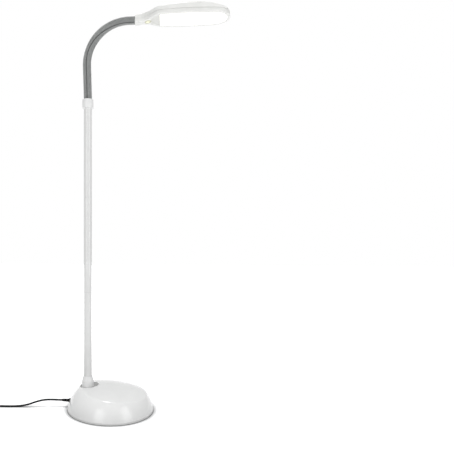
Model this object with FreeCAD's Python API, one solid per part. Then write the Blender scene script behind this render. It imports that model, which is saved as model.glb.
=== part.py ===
import FreeCAD, Part
import math
import os

# Floor reading lamp: a domed, weighted base carries a one inch pole near its rear edge. A ribbed
# gooseneck bends over from the pole's top and holds a flat oval light head with a lit push button.
# Millimetres. The origin is the middle of the base on the floor, X points towards the head, Z up.

V = FreeCAD.Vector

# Base cover, a moulded dome whose crest lies towards the pole
BASE_R = 134.0
RIM_Z = 1.2
RIM_H = 7.0
RIM_STEP = 0.9
SKIRT_STEP = 0.6
SKIRT_DRAW_IN = 28.0
SKIRT_HIGH_Z = 60.0
SKIRT_ROUND_R = 120.0
CREST_X = -26.0
CREST_Z = 76.0
CAP_R = 386.0
SHOULDER_R = 10.0
COVER_WALL = 3.0
POST_R = 4.5
POST_COUNT = 4
POST_INSET = 18.0

# Well round the pole's foot
WELL_R = 30.0
WELL_FORWARD = 5.0
WELL_FLOOR_Z = 61.2
COLUMN_R = 20.0

# What closes and weighs the base
PAD_T = 2.5
PAD_INSET = 8.0
PLATE_T = 2.5
PLATE_GAP = 0.4
WEIGHT_INSET = 30.0
WEIGHT_T = 20.0
BOSS_R = 27.0
BOSS_TOP_Z = 40.0
WEB_T = 8.0
POCKET_R = 17.0
SLOT_W = 9.0

# Fasteners in the base
SCREW_R = 1.9
SCREW_HEAD_R = 3.8
SCREW_HEAD_T = 1.5
SCREW_L = 16.0
SCREW_GAP = 0.1
STUD_R = 6.0
STUD_BORE_R = 3.5
STUD_GAP = 0.05
STUD_TOP_Z = 90.0
NUT_ACROSS = 19.0
NUT_T = 6.0
WASHER_R = 12.5
WASHER_T = 1.5

# Pole, in equal lengths that meet on threaded inserts
POLE_X = -71.5
POLE_R = 12.7
POLE_WALL = 1.2
POLE_FOOT_Z = 67.2
POLE_TOP_Z = 963.5
POLE_PARTS = ["pole_lower", "pole_middle", "pole_upper"]
POLE_SEAM = 0.3
INSERT_L = 30.0
INSERT_GAP = 0.05
FIT = 0.15

# Collars
LOWER_COLLAR_R = 18.2
LOWER_COLLAR_FOOT_R = 19.6
LOWER_COLLAR_FOOT_T = 3.0
LOWER_COLLAR_TAPER_Z = 88.0
LOWER_COLLAR_TOP_Z = 102.0
COLLAR_LIP = 1.1
COLLAR_CROWN_T = 6.0
COLLAR_CROWN_FLARE = 1.7
UPPER_COLLAR_R = 17.8
UPPER_COLLAR_LOW_Z = 945.0
UPPER_COLLAR_TOP_Z = 973.5
UPPER_COLLAR_EDGE = 1.5
UPPER_COLLAR_ROOF = 7.0
SET_SCREW_R = 2.0
SET_SCREW_SINK = 0.4
SET_SCREW_GAP = 0.1

# Gooseneck: upright, a slight lean back, the long bend over, and straight into the head
NECK_FOOT = 4.0
NECK_LEAN_DEG = 1.7
NECK_LEAN_R = 300.0
NECK_STRAIGHT = 93.5
NECK_ARC_R = 132.0
NECK_END = 19.0
HEAD_TILT_DEG = -0.8
SLEEVE_WIDE = 20.5
SLEEVE_CHAMFER = 2.5
# At its foot the sleeve shows a corner to the side, and it turns flat through the bend
SLEEVE_TWIST_DEG = -45.0
TWIST_FROM = 0.4
TWIST_TO = 0.85
RIB_PITCH = 3.5
RIB_DEPTH = 1.3
CORE_R = 5.3
CORE_BORE_R = 3.2
CORE_GAP = 0.3
CORE_FOOT_L = 38.0
SPLIT_CORE = 3.0
SPLIT_SLEEVE = 0.3
FERRULE_FOOT_Z = 929.5
FERRULE_FLANGE_T = 3.0
# Lengths of neck that each hinge stands for, from the foot up: bend, sway, bend, bend, sway, bend
HINGE_SHARES = [0.194, 0.112, 0.194, 0.194, 0.112, 0.194]

# Leads and cord
LEAD_R = 2.6
LEAD_LOW_Z = 9.0
LEAD_BEND_R = 14.0
CORD_D = 5.5
RELIEF_Z = 21.4
RELIEF_FLANGE_R = 6.4
RELIEF_FLANGE_T = 4.0
RELIEF_NECK_R = 4.9
RELIEF_TIP_R = 3.9
RELIEF_L = 24.7
RELIEF_IN = 5.0
RELIEF_BORE_GAP = 0.05
COIL_X = -404.0
COIL_Y = -70.8
COIL_OUT_R = 43.9
COIL_PITCH = 5.95
COIL_TURNS_IN = 3.5
COIL_TURNS_OUT = 3.25
COIL_CLIMB = 0.5
COIL_SIDES = 8
# The free cord's route on the floor, as photographed: clear of the base, down, and away to the left
CORD_ROUTE = [
    (-175.5, 0, 21.4), (-207.5, -5, 22.4), (-234.5, -9.5, 16.8), (-262, -14.5, 7.0), (-289.5, -18.4, 2.8),
    (-323.1, -24.1, 2.8), (-353.1, -25.4, 2.8),
]
CORD_LAST_RUN = 26.0
TAIL_ROUTE = [(0, 0, 8.75), (0, -18, 8.75), (-2.5, -34, 7.4), (-2.5, -52, 7.4)]
PLUG_L = 30.0
PLUG_W = 24.0
PLUG_T = 14.8
PLUG_TAPER_L = 22.0
BLADE_L = 16.0
BLADE_W = 6.3
BLADE_T = 1.5
BLADE_SPACING = 12.7

# Head, in its own frame: u along it from the neck's end, v across, w up from the sleeve's middle
# The outline is that of the face, its widest place. The frame's wall leans in from there to the seam.
HEAD_L = 290.5
HEAD_HALF_W = 54.0
HEAD_SIDE_R = 800.0
HEAD_WIDEST_U = 165.3
HEAD_NECK_HALF = 13.5
HEAD_FLARE_U = 19.6
HEAD_FLARE_R = 34.0
HEAD_FLARE_DEG = 45.0
HEAD_SHOULDER_R = 45.6
HEAD_WALL = 2.4
TOP_LINE = [(-2, 15.5), (31, 20.4), (61, 22.9), (101, 26.8), (156, 29.3), (211, 29.0), (261, 20.5), (296, 17.0)]
TOP_EDGE_R = 6.0
SEAM_LINE = [(-2, -0.5), (76, 10.0), (296, 10.0)]
SEAM_BEND_R = 150.0
SEAM_GAP = 0.6
FACE_LINE = [(-2, -11.8), (62, -2.5), (296, -2.5)]
FACE_BEND_R = 60.0
COVER_INSET = 1.5
FRAME_INSET = 2.1
FRAME_EDGE_R = 1.2
# How far the blocks that the head is cut from reach past it
BLOCK_LOW = -30.0
BLOCK_HIGH = 60.0
LIP_H = 2.5
LIP_T = 1.2
LIP_GAP = 0.3
SOLID_NECK_U = 24.0
LEAD_END_U = 29.1

# Light opening in the head's face
RECESS_LOW_U = 48.5
RIM_WIDE = 10.0
RECESS_DEPTH = 2.6
LEDGE = 4.0
PANEL_END_U = 78.0
PANEL_GAP = 0.4
DIFFUSER_T = 2.2
DIFFUSER_FIT = 0.25
FACE_FLOOR_T = 2.0

# Inside the head
BOARDS_BACK = 12.0
SPREADER_T = 1.2
LED_BOARD_T = 1.6
LED_SIZE = 3.0
LED_T = 0.8
LED_STEP_U = 18.0
LED_STEP_V = 16.0
COVER_POST_R = 3.0
COVER_POST_PLACES = [(105, 28), (105, -28), (235, 28), (235, -28)]
NECK_SCREW_U = 11.0
NECK_SCREW_V = 9.4
NECK_SCREW_R = 1.4
NECK_SCREW_HEAD_R = 2.3
NECK_SCREW_SINK = 4.0
UPPER_FERRULE_R = 6.6
UPPER_FERRULE_L = 12.0
UPPER_FERRULE_START = 0.5
CORE_HEAD_L = 8.0

# Push button, in a frame on the sloping underside of the head's neck
BUTTON_U = 39.5
RING_R = 9.6
RING_PROUD = 1.3
CAP_R_BUTTON = 5.8
CAP_GAP = 0.35
CAP_PROUD = 1.0
CAP_T = 2.6
BUTTON_TRAVEL = 0.8
STEM_R = 2.2
SWITCH_DEEP = 6.0
SWITCH_T = 3.6
SWITCH_HALF = 3.0
PLUNGER_R = 1.6
PLUNGER_T = 1.5
BOARD_T = 1.6
BOARD_LOW = -8.0
BOARD_HIGH = 22.0
BOARD_HALF_W = 9.2
BOARD_POST_R = 1.8
BOARD_POST_LIFT = 1.5

TINY = 0.01
SPHERE_TURN_DEG = 35


def save(name, shape):
    os.makedirs("parts", exist_ok=True)
    shape.exportStep("parts/" + name + ".step")


def cylinder(radius, low, high, x=0.0, y=0.0):
    return Part.makeCylinder(radius, high - low, V(x, y, low))


def tube(radius, bore, low, high, x=0.0, y=0.0):
    return cylinder(radius, low, high, x, y).cut(cylinder(bore, low - 1, high + 1, x, y))


def box(x0, x1, y0, y1, z0, z1):
    return Part.makeBox(x1 - x0, y1 - y0, z1 - z0, V(x0, y0, z0))


def revolved(points, x=0.0):
    wire = Part.makePolygon([V(r, 0, z) for r, z in points + points[:1]])
    solid = Part.Face(wire).revolve(V(0, 0, 0), V(0, 0, 1), 360)
    solid.translate(V(x, 0, 0))
    return solid


def line(a, b):
    return Part.LineSegment(a, b).toShape()


def arc(a, middle, b):
    return Part.Arc(a, middle, b).toShape()


def rounded_path(points, radii):
    """Straight runs joined by tangent arcs, one radius for each inner point."""
    edges = []
    start = points[0]
    for before, corner, after, radius in zip(points, points[1:], points[2:], radii):
        back = (before - corner).normalize()
        ahead = (after - corner).normalize()
        half_turn = (math.pi - back.getAngle(ahead)) / 2
        reach = radius * math.tan(half_turn)
        first, last = corner + back * reach, corner + ahead * reach
        inward = (back + ahead).normalize()
        middle = corner + inward * (radius / math.cos(half_turn) - radius)
        edges += [line(start, first), arc(first, middle, last)]
        start = last
    edges.append(line(start, points[-1]))
    return edges


def widest_radii(points):
    """The largest arc that each corner's two runs allow."""
    radii = []
    for before, corner, after in zip(points, points[1:], points[2:]):
        turn = (corner - before).getAngle(after - corner)
        run = min((corner - before).Length, (after - corner).Length)
        radii.append(0.45 * run / math.tan(turn / 2))
    return radii


def swept(edges, radius, sides=0):
    """A round or many sided rod along a path."""
    path = Part.Wire(edges)
    first = edges[0]
    start = first.valueAt(first.FirstParameter)
    ahead = first.tangentAt(first.FirstParameter)
    if sides:
        side = ahead.cross(V(0, 0, 1)).normalize()
        up = side.cross(ahead)
        corners = []
        for i in range(sides + 1):
            turn = 2 * math.pi * (i + 0.5) / sides
            corners.append(start + side * (radius * math.cos(turn)) + up * (radius * math.sin(turn)))
        profile = Part.makePolygon(corners)
    else:
        profile = Part.Wire(Part.Circle(start, ahead, radius).toShape())
    return path.makePipeShell([profile], True, False)


# Base cover
PLATE_LOW_Z = PAD_T
PLATE_TOP_Z = PAD_T + PLATE_T
PLATE_R = BASE_R - COVER_WALL - PLATE_GAP
post_place_r = BASE_R - POST_INSET
weight_r = BASE_R - WEIGHT_INSET
skirt_low_z = RIM_H + RIM_STEP
skirt_low_r = BASE_R - SKIRT_STEP
skirt_high_r = BASE_R - SKIRT_DRAW_IN
skirt_top_z = CREST_Z + 12

# Centre of the skirt's round side, an arc through its low and high places
chord = V(skirt_high_r - skirt_low_r, 0, SKIRT_HIGH_Z - skirt_low_z)
chord_middle = V((skirt_high_r + skirt_low_r) / 2, 0, (SKIRT_HIGH_Z + skirt_low_z) / 2)
chord_out = V(chord.z, 0, -chord.x).normalize()
skirt_centre = chord_middle - chord_out * math.sqrt(SKIRT_ROUND_R ** 2 - (chord.Length / 2) ** 2)


def skirt_radius(z, inset=0.0):
    return skirt_centre.x + math.sqrt((SKIRT_ROUND_R - inset) ** 2 - (z - skirt_centre.z) ** 2)


def dome(inset, low):
    """The dome's outer form, or the same form inset by a wall."""
    rim = [V(0, 0, low), V(BASE_R - inset, 0, low), V(BASE_R - inset, 0, RIM_H)]
    skirt = [V(skirt_radius(z, inset), 0, z) for z in (skirt_low_z, SKIRT_HIGH_Z / 2, skirt_top_z)]
    axis_top = V(0, 0, skirt_top_z)
    edges = [line(a, b) for a, b in zip(rim, rim[1:])]
    edges += [line(rim[-1], skirt[0]), arc(*skirt), line(skirt[-1], axis_top), line(axis_top, rim[0])]
    turned = Part.Face(Part.Wire(edges)).revolve(V(0, 0, 0), V(0, 0, 1), 360)
    cap = Part.makeSphere(CAP_R - inset)
    cap.rotate(V(0, 0, 0), V(0, 1, 0), SPHERE_TURN_DEG)
    cap.translate(V(CREST_X, 0, CREST_Z - CAP_R))
    body = turned.common(cap)
    shoulder = [e for e in body.Edges if e.BoundBox.ZMin > CREST_Z / 2 and e.BoundBox.YLength > 1]
    return body.makeFillet(SHOULDER_R - inset, shoulder)


def post_places():
    for i in range(POST_COUNT):
        turn = 2 * math.pi * (i + 0.5) / POST_COUNT
        yield post_place_r * math.cos(turn), post_place_r * math.sin(turn)


def relief_hole(radius):
    length = skirt_radius(RELIEF_Z) + RELIEF_L - weight_r
    return Part.makeCylinder(radius, length, V(-weight_r, 0, RELIEF_Z), V(-1, 0, 0))


def base_cover():
    outside = dome(0, RIM_Z)
    hollow = dome(COVER_WALL, RIM_Z - 1)
    solid_in = dome(COVER_WALL / 2, RIM_Z)
    well_x = POLE_X + WELL_FORWARD
    cup = cylinder(WELL_R + COVER_WALL, WELL_FLOOR_Z - COVER_WALL, CREST_Z + 5, well_x).common(outside)
    column = cylinder(COLUMN_R, BOSS_TOP_Z, WELL_FLOOR_Z, POLE_X)
    posts = [cylinder(POST_R, PLATE_TOP_Z, CREST_Z, x, y).common(solid_in) for x, y in post_places()]
    cover = outside.cut(hollow).fuse([cup, column] + posts)
    well = cylinder(WELL_R, WELL_FLOOR_Z, CREST_Z + 5, well_x)
    cover = cover.cut(well).cut(cylinder(STUD_R + FIT, BOSS_TOP_Z - 1, CREST_Z, POLE_X))
    for x, y in post_places():
        cover = cover.cut(cylinder(SCREW_R + SCREW_GAP, PLATE_TOP_Z - 1, PLATE_LOW_Z + SCREW_L + 2, x, y))
    cover = cover.cut(relief_hole(RELIEF_NECK_R + SCREW_GAP))
    return cover


def base_plate():
    plate = cylinder(PLATE_R, PLATE_LOW_Z, PLATE_TOP_Z)
    for x, y in post_places():
        plate = plate.cut(cylinder(SCREW_R + SCREW_GAP, PLATE_LOW_Z - 1, PLATE_TOP_Z + 1, x, y))
        plate = plate.cut(cylinder(SCREW_HEAD_R + SCREW_GAP, PLATE_LOW_Z - 1, PLATE_LOW_Z + SCREW_HEAD_T, x, y))
    return plate


def base_screws():
    screws = []
    for x, y in post_places():
        head = cylinder(SCREW_HEAD_R, PLATE_LOW_Z, PLATE_LOW_Z + SCREW_HEAD_T, x, y)
        shank = cylinder(SCREW_R, PLATE_LOW_Z, PLATE_LOW_Z + SCREW_L, x, y)
        screws.append(head.fuse(shank).removeSplitter())
    return Part.makeCompound(screws)


def base_weight():
    disc = cylinder(weight_r, PLATE_TOP_Z, PLATE_TOP_Z + WEIGHT_T)
    weight = disc.fuse(cylinder(BOSS_R, PLATE_TOP_Z, BOSS_TOP_Z, POLE_X))
    weight = weight.cut(cylinder(POCKET_R, PLATE_TOP_Z - 1, BOSS_TOP_Z - WEB_T, POLE_X))
    weight = weight.cut(cylinder(STUD_R + FIT, PLATE_TOP_Z, BOSS_TOP_Z + 1, POLE_X))
    half = SLOT_W / 2
    slot = box(-weight_r - 5, POLE_X - POCKET_R + 3, -half, half, PLATE_TOP_Z - 1, BOSS_TOP_Z + 1)
    return weight.cut(slot).removeSplitter()


save("base_cover", base_cover())
save("base_plate", base_plate())
save("base_screws", base_screws())
save("floor_pad", cylinder(PLATE_R - PAD_INSET, 0, PAD_T))
save("base_weight", base_weight())

# Hollow stud that clamps weight, cover, collar and pole
web_low_z = BOSS_TOP_Z - WEB_T
nut_top_z = web_low_z - WASHER_T
stud_low_z = nut_top_z - NUT_T - 1
nut_corner_r = NUT_ACROSS / math.sqrt(3)
nut_points = [V(POLE_X + nut_corner_r * math.cos(math.radians(60 * i)),
                nut_corner_r * math.sin(math.radians(60 * i)), nut_top_z - NUT_T) for i in range(7)]
nut = Part.Face(Part.makePolygon(nut_points)).extrude(V(0, 0, NUT_T))
save("pole_stud", tube(STUD_R, STUD_BORE_R, stud_low_z, STUD_TOP_Z, POLE_X))
save("stud_nut", nut.cut(cylinder(STUD_R + STUD_GAP, 0, BOSS_TOP_Z, POLE_X)))
save("stud_washer", tube(WASHER_R, STUD_R + FIT, nut_top_z, web_low_z, POLE_X))

# Collars
lower_collar = revolved([
    (STUD_R + FIT, WELL_FLOOR_Z), (LOWER_COLLAR_FOOT_R, WELL_FLOOR_Z),
    (LOWER_COLLAR_FOOT_R, WELL_FLOOR_Z + LOWER_COLLAR_FOOT_T),
    (LOWER_COLLAR_R, LOWER_COLLAR_TAPER_Z),
    (POLE_R + FIT + COLLAR_LIP + COLLAR_CROWN_FLARE, LOWER_COLLAR_TOP_Z - COLLAR_CROWN_T),
    (POLE_R + FIT + COLLAR_LIP, LOWER_COLLAR_TOP_Z), (POLE_R + FIT, LOWER_COLLAR_TOP_Z),
    (POLE_R + FIT, POLE_FOOT_Z), (STUD_R + FIT, POLE_FOOT_Z),
], POLE_X)
save("lower_collar", lower_collar)

roof_low_z = UPPER_COLLAR_TOP_Z - UPPER_COLLAR_ROOF
edge = UPPER_COLLAR_EDGE
upper_collar = revolved([
    (POLE_R + FIT, UPPER_COLLAR_LOW_Z), (UPPER_COLLAR_R - edge, UPPER_COLLAR_LOW_Z),
    (UPPER_COLLAR_R, UPPER_COLLAR_LOW_Z + edge), (UPPER_COLLAR_R, UPPER_COLLAR_TOP_Z - edge),
    (UPPER_COLLAR_R - edge, UPPER_COLLAR_TOP_Z), (CORE_R + CORE_GAP, UPPER_COLLAR_TOP_Z),
    (CORE_R + CORE_GAP, roof_low_z), (POLE_R + FIT, roof_low_z),
], POLE_X)
screw_z = (UPPER_COLLAR_LOW_Z + UPPER_COLLAR_TOP_Z) / 2 - 4
screw_out_x = POLE_X - UPPER_COLLAR_R + SET_SCREW_SINK
screw_l = UPPER_COLLAR_R - SET_SCREW_SINK - POLE_R - FIT - SET_SCREW_GAP
screw_hole = Part.makeCylinder(SET_SCREW_R + SCREW_GAP, 12, V(screw_out_x - 2, 0, screw_z), V(1, 0, 0))
hole_end = box(POLE_X - POLE_R - FIT, POLE_X, -5, 5, screw_z - 5, screw_z + 5)
save("upper_collar", upper_collar.cut(screw_hole.cut(hole_end)))
set_screw = Part.makeCylinder(SET_SCREW_R, screw_l, V(screw_out_x, 0, screw_z), V(1, 0, 0))
socket = Part.makeCylinder(SET_SCREW_R / 2, 2, V(screw_out_x - 1, 0, screw_z), V(1, 0, 0))
save("collar_screw", set_screw.cut(socket))

# Pole tubes, and the inserts in their joints
part_l = (POLE_TOP_Z - POLE_FOOT_Z) / len(POLE_PARTS)
pole_bore = POLE_R - POLE_WALL
inserts = []
for i, name in enumerate(POLE_PARTS):
    low = POLE_FOOT_Z + i * part_l
    save(name, tube(POLE_R, pole_bore, low + (POLE_SEAM if i else 0), low + part_l, POLE_X))
    if i:
        inserts.append(tube(pole_bore - INSERT_GAP, STUD_BORE_R, low - INSERT_L / 2, low + INSERT_L / 2, POLE_X))
foot_insert = tube(pole_bore - INSERT_GAP, STUD_R + STUD_GAP, POLE_FOOT_Z, STUD_TOP_Z + 4, POLE_X)
save("pole_inserts", Part.makeCompound([foot_insert] + inserts))

# Gooseneck centre line: lengths, and how far each turns from upright towards the head
foot = V(POLE_X, 0, UPPER_COLLAR_TOP_Z)
lean = math.radians(NECK_LEAN_DEG)
bend = math.radians(90 - HEAD_TILT_DEG) + lean
neck_runs = [
    (NECK_FOOT, 0.0), (NECK_LEAN_R * lean, -lean), (NECK_STRAIGHT, 0.0), (NECK_ARC_R * bend, bend), (NECK_END, 0.0),
]
neck_l = sum(length for length, _ in neck_runs)
neck_marks = [sum(length for length, _ in neck_runs[:i]) for i in range(1, len(neck_runs))]


def neck_point(s):
    """Place and direction on the neck's middle line, s along it from the upper collar."""
    place, heading, left = foot, 0.0, s
    for i, (length, turn) in enumerate(neck_runs):
        run = left if i == len(neck_runs) - 1 else min(left, length)
        after = heading + turn * run / length
        if turn:
            radius = length / turn
            step = V(math.cos(heading) - math.cos(after), 0, math.sin(after) - math.sin(heading)) * radius
        else:
            step = V(math.sin(heading), 0, math.cos(heading)) * run
        place, heading, left = place + step, after, left - run
        if left <= 0:
            break
    return place, V(math.sin(heading), 0, math.cos(heading))


def neck_edges(low, high):
    """The middle line's straight and round pieces between two places on it."""
    stops = [low] + [m for m in neck_marks if low + TINY < m < high - TINY] + [high]
    edges = []
    for a, b in zip(stops, stops[1:]):
        start, middle, end = (neck_point(s)[0] for s in (a, (a + b) / 2, b))
        straight = neck_point(a)[1].getAngle(neck_point(b)[1]) < math.radians(0.001)
        edges.append(line(start, end) if straight else arc(start, middle, end))
    return edges


def sleeve_section(s, thinner):
    """The sleeve's square outline with cut corners, across the neck at s."""
    place, ahead = neck_point(s)
    along = min(max((s / neck_l - TWIST_FROM) / (TWIST_TO - TWIST_FROM), 0), 1)
    twist = math.radians(SLEEVE_TWIST_DEG) * (1 - along * along * (3 - 2 * along))
    across = V(0, 1, 0)
    inside = ahead.cross(across)
    wide_axis = across * math.cos(twist) + inside * math.sin(twist)
    thick_axis = ahead.cross(wide_axis)
    a = SLEEVE_WIDE / 2 - thinner
    c = a - SLEEVE_CHAMFER
    corners = [(a, c), (c, a), (-c, a), (-a, c), (-a, -c), (-c, -a), (c, -a), (a, -c)]
    points = [place + wide_axis * p + thick_axis * q for p, q in corners]
    return Part.makePolygon(points + points[:1])


def neck_sleeve(low, high):
    ribs = round((high - low) / RIB_PITCH)
    pitch = (high - low) / ribs
    sections = []
    for i in range(ribs):
        start = low + i * pitch
        sections += [sleeve_section(start, RIB_DEPTH), sleeve_section(start + 0.22 * pitch, RIB_DEPTH)]
        sections += [sleeve_section(start + 0.34 * pitch, 0), sleeve_section(start + 0.88 * pitch, 0)]
    sections.append(sleeve_section(high, RIB_DEPTH))
    outside = Part.makeLoft(sections, True, True)
    bore = swept(neck_edges(low - 2, high + 2), CORE_R + CORE_GAP)
    return outside.cut(bore)


def neck_core(low, high):
    edges = neck_edges(low, high)
    longer = neck_edges(low - 2, high + 2)
    return swept(edges, CORE_R).cut(swept(longer, CORE_BORE_R))


hinge_places = []
passed = 0.0
for share in HINGE_SHARES:
    hinge_places.append((passed + share / 2) * neck_l / sum(HINGE_SHARES))
    passed += share
print("neck length", round(neck_l, 2))
for s in hinge_places:
    place, ahead = neck_point(s)
    print("hinge at", round(s, 2), [round(c, 3) for c in place], "along", [round(c, 5) for c in ahead])

# Neck pieces between the hinges: sleeve, core and lead
core_foot = -CORE_FOOT_L
core_head = neck_l + CORE_HEAD_L
stops = [0.0] + hinge_places + [neck_l]
for i, (low, high) in enumerate(zip(stops, stops[1:])):
    first, last = i == 0, i == len(hinge_places)
    sleeve_low = low + (0.1 if first else SPLIT_SLEEVE / 2)
    sleeve_high = high - (0.1 if last else SPLIT_SLEEVE / 2)
    core_low = core_foot if first else low + SPLIT_CORE / 2
    core_high = core_head if last else high - SPLIT_CORE / 2
    save("neck_sleeve_" + str(i), neck_sleeve(sleeve_low, sleeve_high))
    save("neck_core_" + str(i), neck_core(core_low, core_high))
    if not first and not last:
        save("neck_lead_" + str(i), swept(neck_edges(core_low, core_high), LEAD_R))

# Ferrule that holds the core in the pole's top
ferrule = cylinder(pole_bore - INSERT_GAP, FERRULE_FOOT_Z, POLE_TOP_Z, POLE_X)
ferrule = ferrule.fuse(cylinder(POLE_R, POLE_TOP_Z, roof_low_z, POLE_X)).removeSplitter()
ferrule = ferrule.cut(cylinder(CORE_R + STUD_GAP, UPPER_COLLAR_TOP_Z - CORE_FOOT_L, roof_low_z + 1, POLE_X))
ferrule = ferrule.cut(cylinder(STUD_BORE_R, FERRULE_FOOT_Z - 1, roof_low_z, POLE_X))
save("lower_ferrule", ferrule)

# Lead from the cord's end in the strain relief, under the stud and up through the pole to the first hinge
relief_x = -skirt_radius(RELIEF_Z)
relief_tip_x = relief_x - RELIEF_L
relief_in_x = -(skirt_radius(RELIEF_Z, COVER_WALL) - RELIEF_IN)
slot_x = POLE_X - POCKET_R
lead_points = [
    V(relief_tip_x, 0, RELIEF_Z), V(relief_in_x + 9, 0, RELIEF_Z), V(slot_x - 5, 0, LEAD_LOW_Z),
    V(POLE_X, 0, LEAD_LOW_Z), foot,
]
lead_edges = rounded_path(lead_points, [8.0, 12.0, LEAD_BEND_R - 1.5])
lead_edges += neck_edges(0.0, hinge_places[0] - SPLIT_CORE / 2)
save("stand_lead", swept(lead_edges, LEAD_R))

# Strain relief: a slanted flange against the dome and a tapered boot along the cord
steep = math.asin((RELIEF_Z - skirt_centre.z) / SKIRT_ROUND_R)
outward = V(-math.cos(steep), 0, math.sin(steep))
flange = Part.makeCylinder(RELIEF_FLANGE_R, RELIEF_FLANGE_T, V(relief_x, 0, RELIEF_Z) + outward * 0.05, outward)
flange_rims = [e for e in flange.Edges if e.isClosed()]
flange = flange.makeFillet(1.2, [min(flange_rims, key=lambda e: e.CenterOfMass.x)])
neck = Part.makeCylinder(RELIEF_NECK_R, relief_in_x - relief_x, V(relief_x, 0, RELIEF_Z), V(1, 0, 0))
boot = Part.makeCone(RELIEF_NECK_R, RELIEF_TIP_R, RELIEF_L, V(relief_x, 0, RELIEF_Z), V(-1, 0, 0))
relief = flange.fuse([neck, boot]).removeSplitter()
relief_bore_l = relief_in_x - relief_tip_x + 2
relief_bore = Part.makeCylinder(LEAD_R + RELIEF_BORE_GAP, relief_bore_l, V(relief_tip_x - 1, 0, RELIEF_Z), V(1, 0, 0))
save("strain_relief", relief.cut(relief_bore))


# Coil of the cord's spare length: a spiral in, a climb, and a spiral out on top
quarters = round(4 * (COIL_TURNS_IN + COIL_CLIMB + COIL_TURNS_OUT))


def coil_state(quarter):
    """Place and direction after so many quarter turns."""
    turns = quarter / 4
    angle = 2 * math.pi * turns + math.pi / 2
    past = turns - COIL_TURNS_IN - COIL_CLIMB / 2
    radius = COIL_OUT_R - (COIL_TURNS_IN + COIL_CLIMB / 2 - abs(past)) * COIL_PITCH
    slope = COIL_PITCH * ((past > TINY) - (past < -TINY))
    part = min(max(past / COIL_CLIMB + 0.5, 0), 1)
    z = CORD_D / 2 + COIL_PITCH * part
    climb = 1.5 * COIL_PITCH / COIL_CLIMB if TINY < part < 1 - TINY else 0.0
    out = V(math.cos(angle), math.sin(angle), 0)
    round_way = V(-math.sin(angle), math.cos(angle), 0)
    ahead = round_way * (2 * math.pi * radius) + out * slope + V(0, 0, climb)
    if quarter in (0, quarters):
        ahead = round_way
    return V(COIL_X, COIL_Y, z) + out * radius, ahead.normalize()


def biarc(a, ahead_a, b, ahead_b):
    """Two tangent arcs from one place and direction to another."""
    chord = b - a
    both = ahead_a + ahead_b
    k = chord.dot(both)
    spread = 2 * (1 - ahead_a.dot(ahead_b))
    reach = (-k + math.sqrt(k * k + spread * chord.dot(chord))) / spread
    joint_a, joint_b = a + ahead_a * reach, b - ahead_b * reach
    middle = (joint_a + joint_b) * 0.5
    edges = []
    for start, corner, end in ((a, joint_a, middle), (middle, joint_b, b)):
        base = (start + end) * 0.5
        height = (corner - base).Length
        half = (end - start).Length / 2
        sag = half * math.tan(math.atan2(height, half) / 2)
        edges.append(arc(start, base + (corner - base).normalize() * sag, end))
    return edges


coil_edges = []
for i in range(quarters):
    coil_edges += biarc(*coil_state(i), *coil_state(i + 1))
coil = swept(coil_edges, CORD_D / 2 / math.cos(math.pi / COIL_SIDES) * 0.985, COIL_SIDES)
save("cord_coil", coil)

coil_points = []
coil_length = sum(e.Length for e in coil_edges)
for e in coil_edges:
    span = e.LastParameter - e.FirstParameter
    coil_points += [e.valueAt(e.FirstParameter + span * k / 6) for k in range(6)]
step = coil_length / len(coil_points)
skip = int(2.5 * CORD_D / step) + 1
nearest = min(
    (p - q).Length for i, p in enumerate(coil_points) for q in coil_points[i + skip:]
)
print("coil least gap to itself", round(nearest - CORD_D, 2), "mm, length", round(coil_length, 1))

# Free cord from the strain relief to the coil, and from the coil to the plug
run_end, _ = coil_state(0)
cord_points = [V(relief_tip_x, 0, RELIEF_Z)] + [V(*p) for p in CORD_ROUTE]
cord_points += [run_end + V(CORD_LAST_RUN, 0, 0), run_end]
tail_start, _ = coil_state(quarters)
tail_points = [V(tail_start.x + x, tail_start.y + y, z) for x, y, z in TAIL_ROUTE]
free_length = 0.0
for name, points in (("cord_run", cord_points), ("cord_tail", tail_points)):
    radii = widest_radii(points)
    edges = rounded_path(points, radii)
    length = sum(e.Length for e in edges)
    solid = swept(edges, CORD_D / 2)
    free_length += length
    share = solid.Volume / (length * math.pi * CORD_D ** 2 / 4)
    print(name, "radii", [round(r) for r in radii], "length", round(length, 1), "volume share", round(share, 4))
    save(name, solid)
print("cord leaves the strain relief at", round(relief_tip_x, 3))
print("cord length", round(free_length + coil_length, 1))

# Plug, lying beside the coil
plug_at = tail_points[-1]
plug_z = plug_at.z
shell = box(-PLUG_W / 2, PLUG_W / 2, -PLUG_L, 0, -PLUG_T / 2, PLUG_T / 2)
shell = shell.makeFillet(3.5, [e for e in shell.Edges if e.BoundBox.YLength > PLUG_L / 2])
plug_boot = Part.makeCone(CORD_D / 2 + 0.8, PLUG_T / 2 - 2.4, PLUG_TAPER_L, V(0, PLUG_TAPER_L, 0), V(0, -1, 0))
plug_body = shell.fuse(plug_boot)
plug_body.translate(V(plug_at.x, plug_at.y - PLUG_TAPER_L, plug_z))
save("plug_body", plug_body.removeSplitter())
blades = []
for side in (-1, 1):
    x = plug_at.x + side * BLADE_SPACING / 2
    y = plug_at.y - PLUG_TAPER_L - PLUG_L
    blades.append(box(x - BLADE_T / 2, x + BLADE_T / 2, y - BLADE_L, y, plug_z - BLADE_W / 2, plug_z + BLADE_W / 2))
save("plug_blades", Part.makeCompound(blades))

# Head frame and outline
head_at, _ = neck_point(neck_l)
head_place = FreeCAD.Placement(head_at, FreeCAD.Rotation(V(0, 1, 0), -HEAD_TILT_DEG))


def save_in_head(name, shape):
    shape.Placement = head_place.multiply(shape.Placement)
    save(name, shape)


def arc_about(centre, radius, a, b):
    middle = (a - centre).normalize() + (b - centre).normalize()
    return arc(a, centre + middle.normalize() * radius, b)


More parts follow.
